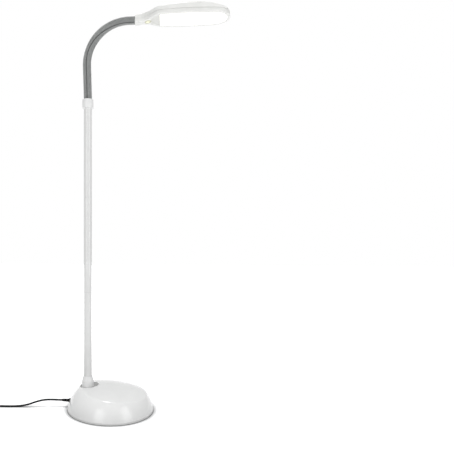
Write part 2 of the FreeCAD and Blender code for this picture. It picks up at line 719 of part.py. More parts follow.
def end_round(reach, half, side_r):
    """Radius of an end arc that touches both side arcs and reaches so far from the widest place."""
    drop = side_r - half
    return (side_r ** 2 - drop ** 2 - reach ** 2) / (2 * (side_r - reach))


def mirrored(edges):
    """The same edges on the other side of the middle line."""
    return [e.mirror(V(0, 0, 0), V(0, 1, 0)) for e in edges]


def head_outline(inset):
    """Face of the head's outline seen from above, inset all round."""
    side_r, half = HEAD_SIDE_R - inset, HEAD_HALF_W - inset
    side_c = V(HEAD_WIDEST_U, half - side_r, 0)
    tip_r = end_round(HEAD_L - inset - HEAD_WIDEST_U, half, side_r)
    tip_c = V(HEAD_L - inset - tip_r, 0, 0)
    flare_r, shoulder_r = HEAD_FLARE_R + inset, HEAD_SHOULDER_R - inset
    flare = math.radians(HEAD_FLARE_DEG)
    along = V(math.cos(flare), math.sin(flare), 0)
    inward = V(math.sin(flare), -math.cos(flare), 0)
    neck_half = HEAD_NECK_HALF - inset
    flare_c = V(HEAD_FLARE_U, neck_half + flare_r, 0)
    flare_end = flare_c + inward * flare_r
    to_start = flare_end + inward * shoulder_r - side_c
    ahead = to_start.dot(along)
    run = math.sqrt(ahead ** 2 + (side_r - shoulder_r) ** 2 - to_start.dot(to_start)) - ahead
    shoulder_c = side_c + to_start + along * run
    shoulder_start = shoulder_c - inward * shoulder_r
    neck_start, neck_end = V(0, neck_half, 0), V(HEAD_FLARE_U, neck_half, 0)
    side_start = side_c + (shoulder_c - side_c).normalize() * side_r
    side_end = side_c + (tip_c - side_c).normalize() * side_r
    tip = V(HEAD_L - inset, 0, 0)
    half_edges = [
        line(neck_start, neck_end), arc_about(flare_c, flare_r, neck_end, flare_end),
        line(flare_end, shoulder_start),
        arc_about(shoulder_c, shoulder_r, shoulder_start, side_start),
        arc_about(side_c, side_r, side_start, side_end), arc_about(tip_c, tip_r, side_end, tip),
    ]
    closing = line(V(0, -neck_half, 0), neck_start)
    return Part.Face(Part.Wire(Part.__sortEdges__(half_edges + mirrored(half_edges) + [closing])))


recess_high_u = HEAD_L - RIM_WIDE


def oval(inset):
    """Face of the light recess, two side arcs and two round ends, inset all round."""
    side_r, half = HEAD_SIDE_R - RIM_WIDE - inset, HEAD_HALF_W - RIM_WIDE - inset
    side_c = V(HEAD_WIDEST_U, half - side_r, 0)
    edges = []
    ends = []
    for direction, reach in ((-1, HEAD_WIDEST_U - RECESS_LOW_U - inset), (1, recess_high_u - HEAD_WIDEST_U - inset)):
        end_r = end_round(reach, half, side_r)
        end_c = V(HEAD_WIDEST_U + direction * (reach - end_r), 0, 0)
        touch = side_c + (end_c - side_c).normalize() * side_r
        ends.append(touch)
        edges.append(arc_about(end_c, end_r, touch, V(HEAD_WIDEST_U + direction * reach, 0, 0)))
    edges.append(arc_about(side_c, side_r, ends[0], ends[1]))
    return Part.Face(Part.Wire(Part.__sortEdges__(edges + mirrored(edges))))


def raised(face, low, high):
    solid = face.extrude(V(0, 0, high - low))
    solid.translate(V(0, 0, low))
    return solid


def bent_line(points, radius, shift):
    """A side view line with one rounded bend, shifted up or down."""
    lifted = [V(u, 0, w + shift) for u, w in points]
    return rounded_path(lifted, [radius])


def smooth_line(points, shift):
    curve = Part.BSplineCurve()
    curve.interpolate([V(u, 0, w + shift) for u, w in points])
    return [curve.toShape()]


def side_slab(low_edges, high_edges):
    """The space between two side view lines, right across the head."""
    ends = []
    for pick in (0, -1):
        a, b = low_edges[pick], high_edges[pick]
        parameter = "FirstParameter" if pick == 0 else "LastParameter"
        ends.append(line(a.valueAt(getattr(a, parameter)), b.valueAt(getattr(b, parameter))))
    face = Part.Face(Part.Wire(Part.__sortEdges__(low_edges + high_edges + ends)))
    slab = face.extrude(V(0, 4 * HEAD_HALF_W, 0))
    slab.translate(V(0, -2 * HEAD_HALF_W, 0))
    return slab


def seam(shift):
    return bent_line(SEAM_LINE, SEAM_BEND_R, shift)


def face_line(shift):
    return bent_line(FACE_LINE, FACE_BEND_R, shift)


def neck_bore():
    """Seat of the upper ferrule, and the lead's way on into the head."""
    seat_l = UPPER_FERRULE_START + UPPER_FERRULE_L + FIT
    seat = Part.makeCylinder(UPPER_FERRULE_R + STUD_GAP, seat_l + 5, V(-5, 0, 0), V(1, 0, 0))
    way = Part.makeCylinder(CORE_BORE_R, SOLID_NECK_U + 10, V(-5, 0, 0), V(1, 0, 0))
    return seat.fuse(way)


lip_inset = COVER_INSET + HEAD_WALL + LIP_GAP


def block(inset):
    """The head's outline as an upright block, inset all round."""
    return raised(head_outline(inset), BLOCK_LOW, BLOCK_HIGH)


def head_box(low_u, high_u):
    """A box right across the head and through it, between two places along it."""
    return box(low_u, high_u, -2 * HEAD_HALF_W, 2 * HEAD_HALF_W, BLOCK_LOW, BLOCK_HIGH)


def neck_block(further):
    """The solid part of the head's neck, which the hollows leave standing."""
    return head_box(-10, SOLID_NECK_U + further)


def leaning_block():
    """The head's outline at the face, leaning in to the frame's narrower outline at the seam."""
    lean_in = FRAME_INSET / (SEAM_LINE[1][1] - FACE_LINE[1][1])
    wires = []
    for w in (FACE_LINE[0][1] - 2, SEAM_LINE[1][1] + 2):
        wire = head_outline((w - FACE_LINE[1][1]) * lean_in).OuterWire
        wire.translate(V(0, 0, w))
        wires.append(wire)
    return Part.makeLoft(wires, True, True)


def head_top_cover():
    outside = block(COVER_INSET).common(side_slab(seam(SEAM_GAP), smooth_line(TOP_LINE, 0)))
    top_edges = []
    for e in outside.Edges:
        box_e = e.BoundBox
        middle = e.valueAt((e.FirstParameter + e.LastParameter) / 2)
        if box_e.ZMin > TOP_LINE[0][1] - 1 and box_e.XLength > 1 and middle.z > SEAM_LINE[1][1] + SEAM_GAP + 1:
            top_edges.append(e)
    outside = outside.makeFillet(TOP_EDGE_R, top_edges)
    hollow = block(COVER_INSET + HEAD_WALL)
    hollow = hollow.common(side_slab(seam(-15), smooth_line(TOP_LINE, -HEAD_WALL)))
    hollow = hollow.cut(neck_block(0))
    cover = outside.cut(hollow)
    plate_top = SEAM_LINE[1][1] + LIP_H + SPREADER_T
    for u, v in COVER_POST_PLACES:
        post = cylinder(COVER_POST_R, plate_top + 0.1, TOP_LINE[4][1] - HEAD_WALL + 1, u, v)
        cover = cover.fuse(post.common(outside))
    cover = cover.cut(neck_bore())
    for side in (-1, 1):
        hole = cylinder(NECK_SCREW_R + SCREW_GAP, -20, 7.5, NECK_SCREW_U, side * NECK_SCREW_V)
        cover = cover.cut(hole)
    return cover.removeSplitter()


# The button's frame: on the neck's sloping underside, its z axis pointing into the head
slope = math.atan2(FACE_LINE[1][1] - FACE_LINE[0][1], FACE_LINE[1][0] - FACE_LINE[0][0])
button_w = FACE_LINE[0][1] + (BUTTON_U - FACE_LINE[0][0]) * math.tan(slope)
button_place = FreeCAD.Placement(V(BUTTON_U, 0, button_w), FreeCAD.Rotation(V(0, 1, 0), -math.degrees(slope)))


def in_button_frame(shape):
    shape.Placement = button_place.multiply(shape.Placement)
    return shape


def board_post(v):
    post = cylinder(BOARD_POST_R, HEAD_WALL + BOARD_POST_LIFT, SWITCH_DEEP + SWITCH_T, BOARD_HIGH - 4, v)
    return in_button_frame(post)


def head_frame():
    outside = leaning_block().common(side_slab(face_line(0), seam(0)))
    low_edges = []
    for e in outside.Edges:
        middle = e.valueAt((e.FirstParameter + e.LastParameter) / 2)
        below = FACE_LINE[0][1] + (middle.x - FACE_LINE[0][0]) * math.tan(slope)
        if middle.z < min(below, FACE_LINE[1][1]) + 0.8 and e.BoundBox.XLength > 1:
            low_edges.append(e)
    outside = outside.makeFillet(FRAME_EDGE_R, low_edges)
    lip = block(lip_inset).common(side_slab(seam(-2), seam(LIP_H))).cut(neck_block(2))
    hollow = block(lip_inset + LIP_T)
    floor_w = RECESS_DEPTH + FACE_FLOOR_T
    hollow = hollow.common(side_slab(face_line(HEAD_WALL + FACE_FLOOR_T), seam(20)))
    hollow = hollow.cut(neck_block(2))
    frame = outside.fuse(lip).cut(hollow)
    face_w = FACE_LINE[1][1]
    frame = frame.cut(raised(oval(0), face_w - 5, face_w + RECESS_DEPTH))
    window = raised(oval(LEDGE), face_w - 5, face_w + floor_w + 5)
    frame = frame.cut(window.cut(head_box(0, PANEL_END_U + LEDGE)))
    frame = frame.cut(neck_bore())
    frame = frame.cut(in_button_frame(cylinder(RING_R + FIT, -5, 12)))
    for side in (-1, 1):
        u, v = NECK_SCREW_U, side * NECK_SCREW_V
        frame = frame.cut(cylinder(NECK_SCREW_R + SCREW_GAP, -30, 20, u, v))
        sink_w = FACE_LINE[0][1] + NECK_SCREW_SINK + 2
        frame = frame.cut(cylinder(NECK_SCREW_HEAD_R + 0.2, -30, sink_w, u, v))
        frame = frame.fuse(board_post(side * 6.0))
    return frame.removeSplitter()


face_w = FACE_LINE[1][1]
seat_w = face_w + RECESS_DEPTH
save_in_head("head_top_cover", head_top_cover())
save_in_head("head_frame", head_frame())

# Diffuser and switch panel share the recess
plate = raised(oval(DIFFUSER_FIT), seat_w - DIFFUSER_T, seat_w)
panel_cut = head_box(0, PANEL_END_U)
save_in_head("diffuser", plate.cut(panel_cut))
beyond_panel = head_box(PANEL_END_U - PANEL_GAP, HEAD_L)
ring_notch = in_button_frame(cylinder(RING_R + 2 * FIT, -10, 10))
save_in_head("switch_panel", plate.cut(beyond_panel).cut(ring_notch))

# Heat spreader, LED board and LEDs, resting on the frame's lip
lip_top = SEAM_LINE[1][1] + LIP_H
behind_neck = head_box(0, PANEL_END_U + BOARDS_BACK)
spreader = raised(head_outline(lip_inset), lip_top, lip_top + SPREADER_T).cut(behind_neck)
save_in_head("heat_spreader", spreader)
board_low = lip_top - LED_BOARD_T
led_board = raised(oval(-1), board_low, lip_top).cut(behind_neck)
save_in_head("led_board", led_board)
leds = []
columns = round((recess_high_u - PANEL_END_U - 60) / LED_STEP_U)
for i in range(columns + 1):
    for j in range(-2, 3):
        u = PANEL_END_U + 28 + i * LED_STEP_U
        v = j * LED_STEP_V
        h = LED_SIZE / 2
        leds.append(box(u - h, u + h, v - h, v + h, board_low - LED_T, board_low))
save_in_head("led_chips", Part.makeCompound(leds))

# Neck screws and the ferrule that they clamp
screws = []
for side in (-1, 1):
    head_top = FACE_LINE[0][1] + NECK_SCREW_SINK + 2
    v = side * NECK_SCREW_V
    shank = cylinder(NECK_SCREW_R, head_top, 7.0, NECK_SCREW_U, v)
    head = cylinder(NECK_SCREW_HEAD_R, head_top - 1.6, head_top, NECK_SCREW_U, v)
    screws.append(shank.fuse(head).removeSplitter())
save_in_head("neck_screws", Part.makeCompound(screws))
upper_ferrule = Part.makeCylinder(UPPER_FERRULE_R, UPPER_FERRULE_L, V(UPPER_FERRULE_START, 0, 0), V(1, 0, 0))
core_seat = Part.makeCylinder(CORE_R + STUD_GAP, CORE_HEAD_L + 1, V(-1, 0, 0), V(1, 0, 0))
lead_way = Part.makeCylinder(CORE_BORE_R, 60, V(-1, 0, 0), V(1, 0, 0))
save_in_head("upper_ferrule", upper_ferrule.cut(core_seat).cut(lead_way))

# Driver board, push switch and their lead
lead_end_s = neck_l + LEAD_END_U
last_hinge = hinge_places[-1]
save("head_lead", swept(neck_edges(last_hinge + SPLIT_CORE / 2, lead_end_s), LEAD_R))
board_low_z = SWITCH_DEEP + SWITCH_T
board = in_button_frame(box(-4, BOARD_HIGH, -BOARD_HALF_W, BOARD_HALF_W, board_low_z, board_low_z + BOARD_T))
save_in_head("driver_board", board)
switch = box(-SWITCH_HALF, SWITCH_HALF, -SWITCH_HALF, SWITCH_HALF, SWITCH_DEEP, board_low_z)
switch = switch.cut(cylinder(PLUNGER_R + SCREW_GAP, SWITCH_DEEP - 1, board_low_z - 0.5))
save_in_head("push_switch", in_button_frame(switch))

# Button ring, fixed, and the cap and plunger that move into the head
ring_bore = CAP_R_BUTTON + CAP_GAP
ring = tube(RING_R, ring_bore, -RING_PROUD, HEAD_WALL + FACE_FLOOR_T)
outer_edge = [e for e in ring.Edges if e.BoundBox.ZMax < -RING_PROUD + 0.01]
ring = ring.makeFillet(1.0, outer_edge)
save_in_head("button_ring", in_button_frame(ring))
cap = cylinder(CAP_R_BUTTON, -CAP_PROUD, CAP_T - CAP_PROUD)
cap = cap.makeFillet(0.6, [e for e in cap.Edges if e.BoundBox.ZMax < -CAP_PROUD + 0.01])
stem = cylinder(STEM_R, CAP_T - CAP_PROUD, SWITCH_DEEP - BUTTON_TRAVEL - 0.1)
save_in_head("button_cap", in_button_frame(cap.fuse(stem).removeSplitter()))
plunger_low = SWITCH_DEEP - BUTTON_TRAVEL - 0.1
plunger = cylinder(PLUNGER_R, plunger_low, plunger_low + PLUNGER_T)
save_in_head("switch_plunger", in_button_frame(plunger))
button_axis = head_place.multiply(button_place).Rotation.multVec(V(0, 0, 1))
button_at = head_place.multiply(button_place).Base
print("button at", [round(c, 3) for c in button_at], "moves along", [round(c, 5) for c in button_axis])
print("head at", [round(c, 3) for c in head_at])
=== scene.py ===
import math

import bmesh
import bpy
from mathutils import Matrix, Vector


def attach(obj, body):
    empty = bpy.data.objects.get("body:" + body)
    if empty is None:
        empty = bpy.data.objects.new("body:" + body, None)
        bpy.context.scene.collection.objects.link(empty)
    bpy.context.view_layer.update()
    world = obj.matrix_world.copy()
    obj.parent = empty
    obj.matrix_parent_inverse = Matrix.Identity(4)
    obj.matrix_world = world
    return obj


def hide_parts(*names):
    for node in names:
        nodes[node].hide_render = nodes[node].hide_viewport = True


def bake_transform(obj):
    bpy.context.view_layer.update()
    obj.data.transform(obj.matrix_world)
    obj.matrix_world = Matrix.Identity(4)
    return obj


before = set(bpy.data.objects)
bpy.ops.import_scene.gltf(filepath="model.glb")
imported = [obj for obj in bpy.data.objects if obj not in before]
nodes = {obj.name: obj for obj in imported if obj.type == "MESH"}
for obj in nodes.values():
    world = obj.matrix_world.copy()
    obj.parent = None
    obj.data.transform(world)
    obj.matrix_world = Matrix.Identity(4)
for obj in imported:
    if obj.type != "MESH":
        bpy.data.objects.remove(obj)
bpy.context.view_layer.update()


# Camera: level and half way up the lamp, a little towards the head's end of its side, as the whole lamp was
# photographed. The lamp stands in the left half of the picture, so the lens is shifted and not turned.
CAMERA_AWAY = 1.52
CAMERA_HEIGHT = 0.5649
CAMERA_ASIDE = 0.0064
CAMERA_TURN = math.radians(7.0)
LENS_SHIFT = 0.2503
LENS_MM = 38.04
SENSOR_MM = 36.0

eye = bpy.data.cameras.new("camera")
eye.lens = LENS_MM
eye.sensor_width = SENSOR_MM
eye.shift_x = LENS_SHIFT
camera = bpy.data.objects.new("camera", eye)
ahead = Vector((-math.sin(CAMERA_TURN), math.cos(CAMERA_TURN), 0))
aside = Vector((math.cos(CAMERA_TURN), math.sin(CAMERA_TURN), 0))
camera.location = aside * CAMERA_ASIDE - ahead * CAMERA_AWAY + Vector((0, 0, CAMERA_HEIGHT))
camera.rotation_euler = (math.radians(90), 0, CAMERA_TURN)
bpy.context.scene.collection.objects.link(camera)
bpy.context.scene.camera = camera


# Power cord: round two-core lead in black PVC. It leaves the base's rear through its strain relief, drops to
# the floor and runs off to the left, where the spare length is wound into a flat coil two layers high.
CORD_D = 0.0055
CORD_ROUTE_MM = [
    (-154, 0, 21.4), (-175.5, 0, 21.4), (-207.5, -5, 22.4), (-234.5, -9.5, 16.8), (-262, -14.5, 7),
    (-289.5, -18.4, 2.8), (-323.1, -24.1, 2.8), (-353.1, -25.4, 2.8), (-378, -26.9, 2.75),
]
CORD_TAIL_MM = [(-446.41, -88.8, 8.75), (-448.91, -104.8, 7.4), (-448.91, -122.8, 7.4)]
COIL_MIDDLE_MM = (-404.0, -70.8)
COIL_OUT_R = 43.9
COIL_PITCH = 5.95
COIL_TURNS_IN = 3.5
COIL_CLIMB = 0.5
COIL_TURNS = 7.25
POINTS_A_TURN = 16


def linear(colour):
    """An sRGB hex colour as linear light."""
    shares = [int(colour[i:i + 2], 16) / 255 for i in (1, 3, 5)]
    return [s / 12.92 if s <= 0.04045 else ((s + 0.055) / 1.055) ** 2.4 for s in shares] + [1.0]


def add(material, kind, sockets=None, **settings):
    """A node in the material, with its settings, and its sockets filled or linked."""
    made = material.node_tree.nodes.new(kind)
    for name, value in settings.items():
        setattr(made, name, value)
    for name, value in (sockets or {}).items():
        if isinstance(value, bpy.types.NodeSocket):
            material.node_tree.links.new(value, made.inputs[name])
        else:
            made.inputs[name].default_value = value
    return made


def finish_of(name, sockets=None):
    """A new material, and its one shader with these sockets set."""
    material = bpy.data.materials.new(name)
    material.use_nodes = True
    shader = material.node_tree.nodes["Principled BSDF"]
    for socket, value in (sockets or {}).items():
        shader.inputs[socket].default_value = value
    return material, shader


def dress(material, *pieces):
    """Gives pieces, or CAD nodes by name, that material and no other."""
    for piece in pieces:
        shown = nodes[piece] if isinstance(piece, str) else piece
        shown.data.materials.clear()
        shown.data.materials.append(material)


def surface_pattern(material, shader, size_mm, depth_mm, rough_low, rough_high, patch_mm):
    """Fine relief of one grain size, and gloss that changes over patches of another.

    It gives back the patches."""
    links = material.node_tree.links
    place = add(material, "ShaderNodeTexCoord").outputs["Object"]
    grain = add(material, "ShaderNodeTexNoise", {
        "Vector": place, "Scale": 1000 / size_mm, "Detail": 3.0, "Roughness": 0.6,
    })
    bump = add(material, "ShaderNodeBump", {
        "Height": grain.outputs["Fac"], "Strength": 1.0, "Distance": depth_mm / 1000,
    })
    links.new(bump.outputs["Normal"], shader.inputs["Normal"])
    patch = add(material, "ShaderNodeTexNoise", {
        "Vector": place, "Scale": 1000 / patch_mm, "Detail": 4.0, "Roughness": 0.55,
    })
    gloss = add(material, "ShaderNodeMapRange", {
        "Value": patch.outputs["Fac"], "From Min": 0.3, "From Max": 0.7,
        "To Min": rough_low, "To Max": rough_high,
    })
    links.new(gloss.outputs["Result"], shader.inputs["Roughness"])
    return patch.outputs["Fac"]


def tinted(material, shader, share, colour_a, colour_b, low=0.35, high=0.65):
    """Base colour between two, by a share that runs from low to high."""
    span = add(material, "ShaderNodeMapRange", {"Value": share, "From Min": low, "From Max": high})
    mix = add(material, "ShaderNodeMix", {
        0: span.outputs["Result"], 6: linear(colour_a), 7: linear(colour_b),
    }, data_type="RGBA")
    material.node_tree.links.new(mix.outputs[2], shader.inputs["Base Color"])
    return mix.outputs[2]


# PVC, extruded: a soft, slightly dusty black with a low sheen. Its real grain is too fine to show, so it is
# drawn at 1.2 mm.
cord_pvc, shader = finish_of("cord_pvc_extruded", {"IOR": 1.36})
dust = surface_pattern(cord_pvc, shader, 1.2, 0.03, 0.86, 0.95, 18)
tinted(cord_pvc, shader, dust, "#050505", "#0A0A0A")


def coil_points():
    """Control points of the coil, in along one layer, up, and out along the next.

    They are set out a little, because the spline runs inside them."""
    points = []
    reach = math.cos(math.pi / POINTS_A_TURN)
    middle = COIL_TURNS_IN + COIL_CLIMB / 2
    for k in range(round(COIL_TURNS * POINTS_A_TURN) + 1):
        turns = (k - 0.5) / POINTS_A_TURN
        angle = 2 * math.pi * turns + math.pi / 2
        past = turns - middle
        radius = (COIL_OUT_R - (middle - abs(past)) * COIL_PITCH) / reach
        part = min(max(past / COIL_CLIMB + 0.5, 0), 1)
        points.append((
            COIL_MIDDLE_MM[0] + radius * math.cos(angle), COIL_MIDDLE_MM[1] + radius * math.sin(angle),
            CORD_D * 1000 / 2 + COIL_PITCH * part,
        ))
    return points


def round_cord(name, points_mm, diameter):
    """A round cord along a smooth line, with closed ends."""
    curve = bpy.data.curves.new(name, "CURVE")
    curve.dimensions = "3D"
    curve.bevel_depth = diameter / 2
    curve.bevel_resolution = 5
    curve.use_fill_caps = True
    spline = curve.splines.new("NURBS")
    spline.points.add(len(points_mm) - 1)
    for point, place in zip(spline.points, points_mm):
        point.co = (place[0] / 1000, place[1] / 1000, place[2] / 1000, 1)
    spline.order_u = 3
    spline.use_endpoint_u = True
    spline.resolution_u = 6
    cord = bpy.data.objects.new(name, curve)
    bpy.context.scene.collection.objects.link(cord)
    return cord


power_cord = round_cord("power_cord", CORD_ROUTE_MM + coil_points() + CORD_TAIL_MM, CORD_D)
dress(cord_pvc, power_cord)
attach(power_cord, "stand")
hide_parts("cord_run", "cord_coil", "cord_tail")


# Strain relief: a soft PVC boot moulded on the cord, with a slanted flange that sits against the dome's slope
# and open slots near its tip, so that it bends in an even curve.
RELIEF_X = -0.129295
RELIEF_Z = 0.0214
RELIEF_TIP_X = -0.154
RELIEF_LEAN_DEG = 20.3
RELIEF_ROOT_R = 0.0049
RELIEF_TIP_R = 0.0039
RELIEF_HOLE_R = 0.0026
RELIEF_IN_DOME = 0.010
RELIEF_SLOTS = 5
RELIEF_SLOT_DEEP = 0.0007
RELIEF_TIP_ROUND = 0.0005
RELIEF_TIP_FROM = 0.985
RELIEF_SIDES = 32
# Shares of the boot's length between which it is slotted
SLOTS_FROM = 0.42
SLOTS_TO = 0.97
# One slot: shares of its pitch, and whether the outline is down in it
SLOT_STEPS = [(0.0, 0), (0.10, 1), (0.42, 1), (0.52, 0)]
FLANGE_R = 0.0064
FLANGE_T = 0.0040
FLANGE_ROUND = 0.0012
FLANGE_OFF_DOME = 0.00005


def skinned(name, rings, closed=True, sharp_deg=35):
    """A mesh over rings of equal count, its ends closed by fans."""
    mesh = bpy.data.meshes.new(name)
    shape = bmesh.new()
    rows = [[shape.verts.new(p) for p in ring] for ring in rings]
    count = len(rows[0])
    for row, after in zip(rows, rows[1:]):
        for i in range(count):
            j = (i + 1) % count
            shape.faces.new((row[i], row[j], after[j], after[i]))
    if closed:
        for row in (rows[0], rows[-1]):
            middle = shape.verts.new(sum((v.co for v in row), Vector()) / count)
            for i in range(count):
                shape.faces.new((row[i], row[(i + 1) % count], middle))
    bmesh.ops.recalc_face_normals(shape, faces=shape.faces)
    for face in shape.faces:
        face.smooth = True
    shape.to_mesh(mesh)
    shape.free()
    mesh.set_sharp_from_angle(angle=math.radians(sharp_deg))
    piece = bpy.data.objects.new(name, mesh)
    bpy.context.scene.collection.objects.link(piece)
    return piece


def round_rings(start, axis, steps, sides):
    """Rings about an axis, one for each pair of way along and radius."""
    axis = Vector(axis).normalized()
    side = axis.orthogonal().normalized()
    up = axis.cross(side)
    rings = []
    for along, radius in steps:
        centre = Vector(start) + axis * along
        turn = [2 * math.pi * i / sides for i in range(sides)]
        rings.append([centre + side * (radius * math.cos(t)) + up * (radius * math.sin(t)) for t in turn])
    return rings


def relief_steps():
    """The boot's outline, from inside the dome to its tip."""
    length = RELIEF_X - RELIEF_TIP_X
    steps = [(-RELIEF_IN_DOME, RELIEF_ROOT_R), (0.0, RELIEF_ROOT_R)]
    pitch = (SLOTS_TO - SLOTS_FROM) / RELIEF_SLOTS
    for i in range(RELIEF_SLOTS):
        for part, deep in SLOT_STEPS:
            share = SLOTS_FROM + (i + part) * pitch
            radius = RELIEF_ROOT_R + (RELIEF_TIP_R - RELIEF_ROOT_R) * share
            steps.append((share * length, radius - deep * RELIEF_SLOT_DEEP))
    steps += [(RELIEF_TIP_FROM * length, RELIEF_TIP_R), (length, RELIEF_TIP_R - RELIEF_TIP_ROUND)]
    steps.append((length, RELIEF_HOLE_R))
    return steps


def joined(name, *pieces):
    """One piece made of several."""
    shape = bmesh.new()
    for piece in pieces:
        shape.from_mesh(piece.data)
        bpy.data.objects.remove(piece)
    mesh = bpy.data.meshes.new(name)
    shape.to_mesh(mesh)
    shape.free()
    whole = bpy.data.objects.new(name, mesh)
    bpy.context.scene.collection.objects.link(whole)
    return whole


relief_place = (RELIEF_X, 0, RELIEF_Z)
lean = math.radians(RELIEF_LEAN_DEG)
boot = skinned("boot", round_rings(relief_place, (-1, 0, 0), relief_steps(), RELIEF_SIDES))
flange_steps = [(FLANGE_OFF_DOME, FLANGE_R)] + [
    (FLANGE_T - back * FLANGE_ROUND, FLANGE_R - inward * FLANGE_ROUND)
    for back, inward in ((1.0, 0.0), (0.5, 1 / 6), (1 / 6, 0.5), (0.0, 1.0))
]
slanted = (-math.cos(lean), 0, math.sin(lean))
flange = skinned("flange", round_rings(relief_place, slanted, flange_steps, RELIEF_SIDES))
cord_boot = joined("cord_boot", boot, flange)
# PVC, injection moulded: dull black, smoother and closer in grain than the cord, and drawn coarse for the
# same reason
boot_pvc, shader = finish_of("boot_pvc_moulded", {"IOR": 1.36})
dust = surface_pattern(boot_pvc, shader, 0.8, 0.02, 0.8, 0.9, 6)
tinted(boot_pvc, shader, dust, "#060606", "#0C0C0C")
dress(boot_pvc, cord_boot)
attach(cord_boot, "stand")
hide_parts("strain_relief")


# Mains plug: black PVC moulded round two flat pins. The body has ridges for the fingers on both broad sides,
# and a tapered boot with open slots where the cord goes in.
PLUG_X = -0.44891
PLUG_Z = 0.0074
PLUG_BOOT_Y = -0.1228
PLUG_BACK_Y = -0.1448
PLUG_FACE_Y = -0.1748
PLUG_W = 0.024
PLUG_T = 0.0148
PLUG_CORNERS = 48
PLUG_TIP_ROUND = 0.0002
# The boot, from the cord back: a share of its length, how wide, how thick, and how square
PLUG_BOOT_TIP = [(0.0, 0.0058, 0.0058, 2), (PLUG_TIP_ROUND / (PLUG_BOOT_Y - PLUG_BACK_Y), 0.0068, 0.0068, 2)]
PLUG_SLOTS = 4
PLUG_SLOTS_FROM = 0.08
PLUG_SLOT_PITCH = 0.15
PLUG_SLOT_DEEP = 0.0006
PLUG_SLOT_STEPS = [(0.0, 0), (0.12, 1), (0.45, 1), (0.57, 0)]
# How wide the boot is at the cord, and how much wider it grows over its length
PLUG_BOOT_W = 0.0071
PLUG_BOOT_FLARE = 0.0030
PLUG_BOOT_FOOT = [(0.72, 0.0100, 0.0096, 2.1), (0.86, 0.0122, 0.0106, 2.3), (0.96, 0.0158, 0.0120, 2.6)]
# The body's shoulder, its ridges, and its face, in the same way
PLUG_SHOULDER = [(0.02, 0.0186, 0.0130, 3.4), (0.08, 0.0204, 0.0134, 3.4), (0.16, 0.0212, 0.0136, 3.4)]
PLUG_RIDGES = 5
PLUG_RIDGES_FROM = 0.24
PLUG_RIDGE_PITCH = 0.09
PLUG_RIDGE_DEEP = 0.0005
PLUG_RIDGE_STEPS = [(0.0, 0), (0.18, 1), (0.5, 1), (0.68, 0)]
# How much thinner the body is at its ridges, how wide it is there, and how much wider it grows to its face
PLUG_GRIP_THINNER = 0.0008
PLUG_GRIP_W = 0.0216
PLUG_GRIP_FLARE = 0.0018
PLUG_FRONT = [(0.74, 0.0236, 0.0144, 5), (0.80, PLUG_W, PLUG_T, 5), (0.97, PLUG_W, PLUG_T, 5),
              (1.0, PLUG_W - 0.0012, PLUG_T - 0.0012, 5)]
BLADE_W = 0.0063
BLADE_T = 0.0015
BLADE_L = 0.016
BLADE_EDGE = 0.0002
BLADE_IN_BODY = 0.0005
# The tip's round corner: how far back from the tip, and how far in from the edge
BLADE_TIP = [(0.0022, 0.0), (0.0006, 0.0009), (0.0, 0.0024)]
BLADE_SPACING = 0.0127
BLADE_HOLE_R = 0.0016
BLADE_HOLE_FROM_FACE = 0.0117
BLADE_HOLE_SIDES = 24


def plug_ring(y, width, thick, square):
    """A ring across the plug: round for square 2, nearly a rounded box for 5."""
    ring = []
    for i in range(PLUG_CORNERS):
        turn = 2 * math.pi * i / PLUG_CORNERS
        c, s = math.cos(turn), math.sin(turn)
        ring.append(Vector((
            PLUG_X + width / 2 * math.copysign(abs(c) ** (2 / square), c), y,
            PLUG_Z + thick / 2 * math.copysign(abs(s) ** (2 / square), s),
        )))
    return ring


def plug_rings():
    """The plug from the cord's end to its face, with slots round the boot and ridges on the body."""
    boot = list(PLUG_BOOT_TIP)
    for i in range(PLUG_SLOTS):
        for part, deep in PLUG_SLOT_STEPS:
            share = PLUG_SLOTS_FROM + PLUG_SLOT_PITCH * (i + part)
            wide = PLUG_BOOT_W + PLUG_BOOT_FLARE * share - 2 * PLUG_SLOT_DEEP * deep
            boot.append((share, wide, wide, 2))
    boot += PLUG_BOOT_FOOT
    body = list(PLUG_SHOULDER)
    for i in range(PLUG_RIDGES):
        for part, deep in PLUG_RIDGE_STEPS:
            share = PLUG_RIDGES_FROM + PLUG_RIDGE_PITCH * (i + part)
            thick = PLUG_T - PLUG_GRIP_THINNER - 2 * PLUG_RIDGE_DEEP * deep
            body.append((share, PLUG_GRIP_W + PLUG_GRIP_FLARE * share, thick, 4))
    body += PLUG_FRONT
    rings = []
    for start, end, steps in ((PLUG_BOOT_Y, PLUG_BACK_Y, boot), (PLUG_BACK_Y, PLUG_FACE_Y, body)):
        rings += [plug_ring(start + share * (end - start), *across) for share, *across in steps]
    return rings


